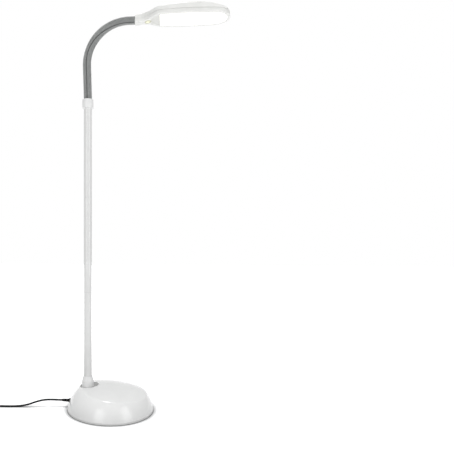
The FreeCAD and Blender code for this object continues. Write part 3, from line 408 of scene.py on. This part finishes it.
def blade(name, x):
    """A flat pin with a rounded tip and a hole near it."""
    curve = bpy.data.curves.new(name, "CURVE")
    curve.dimensions = "2D"
    curve.fill_mode = "BOTH"
    curve.extrude = BLADE_T / 2 - BLADE_EDGE
    curve.bevel_depth = BLADE_EDGE
    curve.offset = -BLADE_EDGE
    curve.bevel_resolution = 1
    half = BLADE_W / 2
    lower = [(-BLADE_IN_BODY, -half)] + [(BLADE_L - back, -half + inward) for back, inward in BLADE_TIP]
    outline = lower + [(along, -across) for along, across in reversed(lower)]
    turns = [2 * math.pi * i / BLADE_HOLE_SIDES for i in range(BLADE_HOLE_SIDES)]
    hole = [(BLADE_HOLE_FROM_FACE + BLADE_HOLE_R * math.cos(t), BLADE_HOLE_R * math.sin(t)) for t in turns]
    for points in (outline, hole):
        spline = curve.splines.new("POLY")
        spline.points.add(len(points) - 1)
        for point, (along, across) in zip(spline.points, points):
            point.co = (along, across, 0, 1)
        spline.use_cyclic_u = True
    flat = bpy.data.objects.new(name, curve)
    mesh = bpy.data.meshes.new_from_object(flat)
    bpy.data.objects.remove(flat)
    turned = Matrix(((0, 0, 1, x), (-1, 0, 0, PLUG_FACE_Y), (0, 1, 0, PLUG_Z), (0, 0, 0, 1)))
    mesh.transform(turned)
    piece = bpy.data.objects.new(name, mesh)
    bpy.context.scene.collection.objects.link(piece)
    return piece


plug = skinned("plug", plug_rings())
dress(boot_pvc, plug)
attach(plug, "stand")
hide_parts("plug_body")
pin_a = blade("pin_a", PLUG_X - BLADE_SPACING / 2)
pin_b = blade("pin_b", PLUG_X + BLADE_SPACING / 2)
plug_pins = joined("plug_pins", pin_a, pin_b)
# Brass, stamped: a pale yellow metal, its sheen a little uneven
pin_brass, shader = finish_of("pin_brass_stamped", {"Metallic": 1.0, "Roughness": 0.3})
rolled = surface_pattern(pin_brass, shader, 0.6, 0.01, 0.24, 0.38, 5)
tinted(pin_brass, shader, rolled, "#C9BE9A", "#D8CFB2")
dress(pin_brass, plug_pins)
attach(plug_pins, "stand")
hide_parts("plug_blades")


# Base cover: one dome injection moulded in white ABS, its crest set back towards the pole. It comes out of a
# polished mould, so it is glossy, with a step above the rim where it meets the floor.

# ABS, moulded against polished steel: glossy white, with long shallow waves in its reflections
base_abs, shader = finish_of("base_abs_polished", {"IOR": 1.54})
patch = surface_pattern(base_abs, shader, 22, 0.006, 0.18, 0.21, 40)
tinted(base_abs, shader, patch, "#E7E7E6", "#EAEAE9")
dress(base_abs, "base_cover")


# What closes and weighs the base: a round of closed cell foam on a zinc plated plate, four screws into the
# cover's posts, and a cast iron weight under the dome, clamped by the pole's stud.

# EVA foam, cut from sheet: dull black with open cells at the cut
foam_eva, shader = finish_of("foam_eva_cut", {"IOR": 1.45})
cells = surface_pattern(foam_eva, shader, 1.5, 0.15, 0.85, 0.95, 8)
tinted(foam_eva, shader, cells, "#1C1C1D", "#2A2A2B")
dress(foam_eva, "floor_pad")
# Steel, cold rolled and zinc plated: grey metal with faint patches a few millimetres across
zinc_plate, shader = finish_of("steel_zinc_plated", {"Metallic": 1.0})
bloom = surface_pattern(zinc_plate, shader, 0.9, 0.01, 0.28, 0.5, 7)
tinted(zinc_plate, shader, bloom, "#A9ABAD", "#C4C6C8")
dress(zinc_plate, "base_plate", "base_screws", "pole_stud", "stud_nut", "stud_washer", "collar_screw",
      "pole_inserts", "lower_ferrule", "upper_ferrule")
# Grey iron, sand cast: dark and grainy from the sand
cast_iron, shader = finish_of("iron_sand_cast", {"Metallic": 0.6})
sand = surface_pattern(cast_iron, shader, 1.6, 0.4, 0.6, 0.8, 12)
tinted(cast_iron, shader, sand, "#4A4A4C", "#646466")
dress(cast_iron, "base_weight")


# Pole: welded steel tube of one inch, powder coated white in three lengths that screw together on inserts.

# Powder coat, sprayed and baked: white, glossy, with the small dimples of an orange's skin. They are drawn at
# 3 mm, about twice as coarse as real ones, so that they show.
pole_coat, shader = finish_of("steel_powder_coated", {"IOR": 1.5})
patch = surface_pattern(pole_coat, shader, 3.0, 0.002, 0.07, 0.1, 30)
tinted(pole_coat, shader, patch, "#DADAD9", "#DEDEDD")
dress(pole_coat, "pole_lower", "pole_middle", "pole_upper")


# Collars: moulded in white ABS, the lower one seated in the dome's well, the upper one over the pole's end
# with a grub screw at its back.

# ABS, moulded against fine sparked steel: satin white, its grain drawn at 1.5 mm so that it shows
collar_abs, shader = finish_of("collar_abs_satin", {"IOR": 1.54})
patch = surface_pattern(collar_abs, shader, 1.5, 0.02, 0.32, 0.42, 12)
tinted(collar_abs, shader, patch, "#E0E0E0", "#E6E6E5")
dress(collar_abs, "lower_collar", "upper_collar")


# Gooseneck: a ribbed sleeve of square section, moulded in grey soft PVC, over a core wound from steel that
# holds its bend. At its foot it shows a corner to the side, and it turns flat on the way to the head.
NECK_FOOT = Vector((-0.0715, 0.0, 0.9735))
HEAD_TILT = math.radians(-0.8)
NECK_LEAN = math.radians(1.7)
NECK_BEND = math.radians(90) - HEAD_TILT + NECK_LEAN
NECK_LEAN_R = 0.3
NECK_BEND_R = 0.132
# Each run of the neck: its length, and how far it turns towards the head
NECK_RUNS = [
    (0.004, 0.0), (NECK_LEAN_R * NECK_LEAN, -NECK_LEAN), (0.0935, 0.0), (NECK_BEND_R * NECK_BEND, NECK_BEND),
    (0.019, 0.0),
]
NECK_L = sum(length for length, _ in NECK_RUNS)
SLEEVE_WIDE = 0.0205
SLEEVE_CORNER = 0.003
CORNER_STEPS = 4
SLEEVE_TWIST = math.radians(-45)
TWIST_FROM = 0.4
TWIST_TO = 0.85
RIBS = 96
RIB_PITCH = NECK_L / RIBS
RIB_DEPTH = 0.0013
# Each length that bends with one joint: its bodies, its two ends counted in ribs, and the solids it stands
# for. The fourth is given from its far end.
NECK_WINDOWS = [
    ("neck_bend_low", "stand", "neck_1", 0, 19, ["neck_sleeve_0"]),
    ("neck_sway_low", "neck_1", "neck_2", 19, 29, ["neck_sleeve_1"]),
    ("neck_bend_mid_low", "neck_2", "neck_3", 29, 48, ["neck_sleeve_2"]),
    ("neck_bend_mid_high", "neck_4", "neck_3", 67, 48, ["neck_sleeve_3"]),
    ("neck_sway_high", "neck_4", "neck_5", 67, 77, ["neck_sleeve_4"]),
    ("neck_bend_high", "neck_5", "head", 77, RIBS, ["neck_sleeve_5", "neck_sleeve_6"]),
]
# How much painted light a rib keeps at the points round one of its corners: painted shade darkens the corners
CORNER_PAINTED_LIGHT = [0.9, 0.3, 0.2, 0.3, 0.9]
# One rib: how far along it, and how deep below the crest
RIB_STEPS = [
    (0.0, 1.0), (0.13, 1.0), (0.20, 0.72), (0.27, 0.2), (0.36, 0.0), (0.80, 0.0), (0.89, 0.2), (0.95, 0.72),
]


def neck_point(s):
    """Place and direction on the neck's middle line, s along it from the upper collar."""
    place, heading, left = NECK_FOOT, 0.0, s
    for length, turn in NECK_RUNS:
        run = min(left, length)
        after = heading + turn * run / length
        if turn:
            radius = length / turn
            step = Vector((
                math.cos(heading) - math.cos(after), 0, math.sin(after) - math.sin(heading),
            )) * radius
        else:
            step = Vector((math.sin(heading), 0, math.cos(heading))) * run
        place, heading, left = place + step, after, left - run
    return place, Vector((math.sin(heading), 0, math.cos(heading)))


def square_outline(half, corner, steps):
    """A square with rounded corners."""
    points = []
    for quarter, (sign_a, sign_b) in enumerate(((1, 1), (-1, 1), (-1, -1), (1, -1))):
        for i in range(steps + 1):
            turn = math.pi / 2 * (quarter + i / steps)
            points.append((sign_a * (half - corner) + corner * math.cos(turn),
                           sign_b * (half - corner) + corner * math.sin(turn)))
    return points


def sleeve_ring(s, deep):
    """A ring round the neck, s along it, turned as the sleeve is there and sunk by part of a rib's depth."""
    place, ahead = neck_point(s)
    along = min(max((s / NECK_L - TWIST_FROM) / (TWIST_TO - TWIST_FROM), 0), 1)
    twist = SLEEVE_TWIST * (1 - along * along * (3 - 2 * along))
    across = Vector((0, 1, 0))
    inside = ahead.cross(across)
    wide = across * math.cos(twist) + inside * math.sin(twist)
    thick = ahead.cross(wide)
    outline = square_outline(SLEEVE_WIDE / 2 - RIB_DEPTH * deep, SLEEVE_CORNER, CORNER_STEPS)
    return [place + wide * a + thick * b for a, b in outline]


def sleeve_rings(first, last):
    """The rings of the ribs from one to another, and how deep each ring is."""
    places = [(rib + part, deep) for rib in range(first, last) for part, deep in RIB_STEPS] + [(last, 1.0)]
    return [sleeve_ring(at * RIB_PITCH, deep) for at, deep in places], [deep for _, deep in places]


# PVC, soft and ribbed, moulded: mid grey and satin, with painted shade down between the ribs and at the
# corners
sleeve_pvc, shader = finish_of("sleeve_pvc_ribbed", {"IOR": 1.52})
surface_pattern(sleeve_pvc, shader, 1.4, 0.03, 0.4, 0.52, 14)
# Painted shade: the colour runs from near black in the grooves and corners to mid grey on the ribs' flats
rib_painted_shade = add(sleeve_pvc, "ShaderNodeAttribute", attribute_name="crest").outputs["Fac"]
tinted(sleeve_pvc, shader, rib_painted_shade, "#0A0B0B", "#A9ABAA", 0.0, 1.0)

for name, body_a, body_b, rib_a, rib_b, stood_for in NECK_WINDOWS:
    rings, depths = sleeve_rings(*sorted((rib_a, rib_b)))
    sleeve = skinned(name, rings, closed=False, sharp_deg=50)
    crest = sleeve.data.attributes.new("crest", "FLOAT", "POINT")
    corner_painted_light = CORNER_PAINTED_LIGHT * (len(rings[0]) // len(CORNER_PAINTED_LIGHT))
    # Painted shade for each point: darker the deeper it lies between ribs, and darker round the corners
    crest.data.foreach_set("value", [(1 - deep) * corner_lit for deep in depths for corner_lit in corner_painted_light])
    dress(sleeve_pvc, sleeve)
    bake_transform(sleeve)
    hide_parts(*stood_for)
# Steel, drawn wire wound close: dull metal, lightly oiled and rough to the light where the turns meet
core_wire, shader = finish_of("steel_wire_wound", {"Metallic": 1.0})
oiled = surface_pattern(core_wire, shader, 1.8, 0.2, 0.3, 0.45, 10)
tinted(core_wire, shader, oiled, "#8E9092", "#A6A8AA")
dress(core_wire, *["neck_core_" + str(i) for i in range(7)])


# Leads: white PVC over two cores, from the strain relief up through the pole and neck to the driver board.

# PVC, extruded: plain white, a little dull
lead_pvc, shader = finish_of("lead_pvc_extruded", {"IOR": 1.53})
dust = surface_pattern(lead_pvc, shader, 1.5, 0.03, 0.4, 0.5, 12)
tinted(lead_pvc, shader, dust, "#E2E2DE", "#ECECE8")
dress(lead_pvc, "stand_lead", "head_lead", *["neck_lead_" + str(i) for i in range(1, 6)])


# Head: two shells moulded in white ABS that meet at a fine seam round the side. Screws through the neck of
# the lower shell clamp both to the gooseneck's ferrule.

# ABS, moulded against fine sparked steel: satin white, with long shallow waves in its reflections
shell_abs, shader = finish_of("shell_abs_satin", {"IOR": 1.54})
patch = surface_pattern(shell_abs, shader, 18, 0.006, 0.28, 0.38, 30)
tinted(shell_abs, shader, patch, "#E5E5E2", "#EBEBE8")
dress(shell_abs, "head_top_cover", "head_frame")
# Steel, zinc plated: the neck screws, deep in their holes
dress(zinc_plate, "neck_screws")


# Light panel: one opal sheet of moulded acrylic in the lower shell's recess, lit from behind, with a plain
# unlit panel between it and the button.
HEAD_START = (0.078377, 0.0, 1.215497)
HEAD_ALONG = (0.9999, 0.0, -0.01396)
SHEET_MIDDLE = 0.1793
SHEET_HALF_LONG = 0.1013
SHEET_HALF_WIDE = 0.044


def head_place_of(material):
    """Place on the head: along it from the neck's end, and across it, in metres."""
    here = add(material, "ShaderNodeTexCoord").outputs["Object"]
    moved = add(material, "ShaderNodeVectorMath", {0: here, 1: HEAD_START}, operation="SUBTRACT")
    along = add(material, "ShaderNodeVectorMath", {
        0: moved.outputs["Vector"], 1: HEAD_ALONG,
    }, operation="DOT_PRODUCT")
    across = add(material, "ShaderNodeSeparateXYZ", {0: moved.outputs["Vector"]})
    return along.outputs["Value"], across.outputs["Y"]


# Acrylic, moulded opal and lit from behind: an even white glow, a little warmer towards the sheet's edge
opal, shader = finish_of("opal_acrylic_lit", {
    "Roughness": 0.35, "IOR": 1.49, "Base Color": linear("#8C8A84"),
})
along, across = head_place_of(opal)
off = add(opal, "ShaderNodeMath", {0: along, 1: SHEET_MIDDLE}, operation="SUBTRACT")
long_share = add(opal, "ShaderNodeMath", {0: off.outputs[0], 1: SHEET_HALF_LONG}, operation="DIVIDE")
wide_share = add(opal, "ShaderNodeMath", {0: across, 1: SHEET_HALF_WIDE}, operation="DIVIDE")
long_square = add(opal, "ShaderNodeMath", {0: long_share.outputs[0], 1: 2.0}, operation="POWER")
wide_square = add(opal, "ShaderNodeMath", {0: wide_share.outputs[0], 1: 2.0}, operation="POWER")
edge = add(opal, "ShaderNodeMath", {0: long_square.outputs[0], 1: wide_square.outputs[0]}, operation="ADD")
fall = add(opal, "ShaderNodeMapRange", {"Value": edge.outputs[0], "From Min": 0.3, "From Max": 1.3})
warmth = add(opal, "ShaderNodeMix", {
    0: fall.outputs["Result"], 6: linear("#FFFFFC"), 7: linear("#FDFDF0"),
}, data_type="RGBA")
opal.node_tree.links.new(warmth.outputs[2], shader.inputs["Emission Color"])
shader.inputs["Emission Strength"].default_value = 2.2
dress(opal, "diffuser")
# Acrylic, moulded and satin on its face: a plain pale panel that isn't lit
panel_acrylic, shader = finish_of("panel_acrylic_satin", {"IOR": 1.49})
patch = surface_pattern(panel_acrylic, shader, 10, 0.005, 0.3, 0.4, 20)
tinted(panel_acrylic, shader, patch, "#D9D9D4", "#DFDFDB")
dress(panel_acrylic, "switch_panel")


# Push button: a ring and a sprung cap in clear yellow acrylic, set where the head narrows to its neck. Both
# carry a faint painted glow.

# Acrylic, moulded clear yellow: the ring is dull at its edge, with a very faint painted glow; the cap has a
# pale painted glow
ring_acrylic, shader = finish_of("ring_acrylic_tinted", {"IOR": 1.49})
haze = surface_pattern(ring_acrylic, shader, 2.0, 0.01, 0.2, 0.3, 5)
painted_glow_colour = tinted(ring_acrylic, shader, haze, "#CFCEAE", "#D6D5BC")
# Painted glow: the ring gives out its own yellow faintly
ring_acrylic.node_tree.links.new(painted_glow_colour, shader.inputs["Emission Color"])
shader.inputs["Emission Strength"].default_value = 0.03
dress(ring_acrylic, "button_ring")
cap_acrylic, shader = finish_of("cap_acrylic_painted_glow", {"IOR": 1.49})
haze = surface_pattern(cap_acrylic, shader, 2.0, 0.01, 0.16, 0.24, 5)
painted_glow_colour = tinted(cap_acrylic, shader, haze, "#F0EFCA", "#F8F7E0")
# Painted glow: the cap gives out its own colour palely
cap_acrylic.node_tree.links.new(painted_glow_colour, shader.inputs["Emission Color"])
shader.inputs["Emission Strength"].default_value = 0.15
dress(cap_acrylic, "button_cap")


# Inside the head: aluminium heat spreader, glass fibre LED board with its LEDs, driver board and push switch.

# Aluminium, rolled: bright grey, its sheen a little uneven
spreader_metal, shader = finish_of("aluminium_rolled", {"Metallic": 1.0})
rolled = surface_pattern(spreader_metal, shader, 1.0, 0.01, 0.3, 0.45, 8)
tinted(spreader_metal, shader, rolled, "#C6C8CA", "#D6D8DA")
dress(spreader_metal, "heat_spreader")
# Glass fibre laminate with a white lacquer: flat white, a little uneven where the weave lies under it
board_glass, shader = finish_of("board_glass_fibre", {"IOR": 1.5})
weave = surface_pattern(board_glass, shader, 1.2, 0.02, 0.35, 0.5, 6)
tinted(board_glass, shader, weave, "#E4E7E2", "#EDEFEA")
dress(board_glass, "led_board", "driver_board")
# Silicone with phosphor, cast over the LEDs: a soft deep yellow
led_lens, shader = finish_of("led_silicone", {"IOR": 1.41})
phosphor = surface_pattern(led_lens, shader, 0.8, 0.02, 0.3, 0.4, 2)
tinted(led_lens, shader, phosphor, "#F2DC6E", "#F6E690")
dress(led_lens, "led_chips")
# Nylon, moulded: dull black
switch_nylon, shader = finish_of("switch_nylon_moulded", {"IOR": 1.53})
dull = surface_pattern(switch_nylon, shader, 0.6, 0.02, 0.5, 0.6, 3)
tinted(switch_nylon, shader, dull, "#141415", "#1E1E1F")
dress(switch_nylon, "push_switch", "switch_plunger")


# Studio: a white floor that keeps the lamp's shadow, a white surround, two tall soft boxes in front that draw
# the two bright bands down the pole, and one high overhead that lights the dome's crown and the head's top.
FLOOR_SIZE = 12.0
# Metres from the lamp's middle over which the floor's bounce grows, and over which it turns quite white
BOUNCE_FROM, BOUNCE_TO = 0.13, 0.5
WHITE_FROM, WHITE_TO = 0.45, 0.9
# The floor's colour and glow as the lamp is lit by it: near the lamp, and far from it
BOUNCE_NEAR, BOUNCE_FAR = 0.32, 0.8
FLOOR_GLOW = 0.17
# The floor's colour and far glow as they are seen: above 1, as a photograph shows paper that is exposed to
# white
FLOOR_EXPOSED = 1.42
FLOOR_WHITE = 0.8
# How near a piece has to be for the floor to darken under it, and how sharply it does
CONTACT_REACH = 0.019
CONTACT_SHARP = 2.0
SKY_GREY = "#AEAFB0"

floor_mesh = bpy.data.meshes.new("floor")
side = FLOOR_SIZE / 2
floor_mesh.from_pydata(
    [(-side, -side, 0), (side, -side, 0), (side, side, 0), (-side, side, 0)], [], [(0, 1, 2, 3)],
)
floor = bpy.data.objects.new("floor", floor_mesh)
bpy.context.scene.collection.objects.link(floor)


def seen_directly(material):
    """1 for rays from the camera, off gloss or through glass, which see the white surround; 0 for light."""
    ray = add(material, "ShaderNodeLightPath")
    seen = add(material, "ShaderNodeMath", {
        0: ray.outputs["Is Camera Ray"], 1: ray.outputs["Is Glossy Ray"],
    }, operation="MAXIMUM")
    seen = add(material, "ShaderNodeMath", {
        0: seen.outputs[0], 1: ray.outputs["Is Transmission Ray"],
    }, operation="MAXIMUM")
    return seen.outputs[0]


# Paper, matt and white, swept under the lamp
floor_paper = bpy.data.materials.new("floor_paper")
floor_paper.use_nodes = True
floor_paper.node_tree.nodes.clear()
seen = seen_directly(floor_paper)
spot = add(floor_paper, "ShaderNodeTexCoord")
reach = add(floor_paper, "ShaderNodeVectorMath", {0: spot.outputs["Object"]}, operation="LENGTH")
away = add(floor_paper, "ShaderNodeMapRange", {0: reach.outputs["Value"], 1: BOUNCE_FROM, 2: BOUNCE_TO})
bounced = add(floor_paper, "ShaderNodeMix", {0: away.outputs[0], 2: BOUNCE_NEAR, 3: BOUNCE_FAR})
exposure = add(floor_paper, "ShaderNodeMix", {0: seen, 2: bounced.outputs[0], 3: FLOOR_EXPOSED})
near = add(floor_paper, "ShaderNodeAmbientOcclusion", {"Color": linear("#FFFFFF"), "Distance": CONTACT_REACH})
contact = add(floor_paper, "ShaderNodeMath", {0: near.outputs["AO"], 1: CONTACT_SHARP}, operation="POWER")
shade = add(floor_paper, "ShaderNodeMath", {
    0: exposure.outputs[0], 1: contact.outputs[0],
}, operation="MULTIPLY")
paper = add(floor_paper, "ShaderNodeCombineColor", {
    "Red": shade.outputs[0], "Green": shade.outputs[0], "Blue": shade.outputs[0],
})
bounce_glow = add(floor_paper, "ShaderNodeMath", {0: away.outputs[0], 1: FLOOR_GLOW}, operation="MULTIPLY")
far = add(floor_paper, "ShaderNodeMapRange", {0: reach.outputs["Value"], 1: WHITE_FROM, 2: WHITE_TO})
far_glow = add(floor_paper, "ShaderNodeMath", {0: far.outputs[0], 1: FLOOR_WHITE}, operation="MULTIPLY")
lit = add(floor_paper, "ShaderNodeMix", {0: seen, 2: bounce_glow.outputs[0], 3: far_glow.outputs[0]})
matt = add(floor_paper, "ShaderNodeBsdfDiffuse", {"Color": paper.outputs[0]})
glow = add(floor_paper, "ShaderNodeEmission", {"Color": linear("#FFFFFF"), "Strength": lit.outputs[0]})
both = add(floor_paper, "ShaderNodeAddShader", {0: matt.outputs[0], 1: glow.outputs[0]})
add(floor_paper, "ShaderNodeOutputMaterial", {"Surface": both.outputs[0]})
floor.data.materials.append(floor_paper)

world = bpy.data.worlds.new("studio")
bpy.context.scene.world = world
world.use_nodes = True
world.node_tree.nodes.clear()
grey = add(world, "ShaderNodeBackground", {"Color": linear(SKY_GREY), "Strength": 1.0})
white = add(world, "ShaderNodeBackground", {"Color": linear("#FFFFFF"), "Strength": 1.0})
which = add(world, "ShaderNodeMixShader", {0: seen_directly(world), 1: grey.outputs[0], 2: white.outputs[0]})
add(world, "ShaderNodeOutputWorld", {"Surface": which.outputs[0]})


def soft_box(name, place, aim, width, height, watts):
    """A soft box at a place, turned to what it is aimed at."""
    light = bpy.data.lights.new(name, "AREA")
    light.shape = "RECTANGLE"
    light.size = width
    light.size_y = height
    light.energy = watts
    box = bpy.data.objects.new(name, light)
    box.location = place
    box.rotation_euler = (Vector(aim) - Vector(place)).to_track_quat("-Z", "Y").to_euler()
    bpy.context.scene.collection.objects.link(box)


soft_box("soft_box_left", (-0.78, -1.84, 0.95), (0, 0, 0.95), 0.85, 1.45, 11.2)
soft_box("soft_box_right", (1.55, -1.26, 0.95), (0, 0, 0.95), 0.85, 1.45, 11.2)
soft_box("soft_box_top", (-0.6, 0.2, 10.0), (0, 0, 0), 1.4, 1.4, 345)

bpy.context.scene.view_settings.view_transform = "Standard"
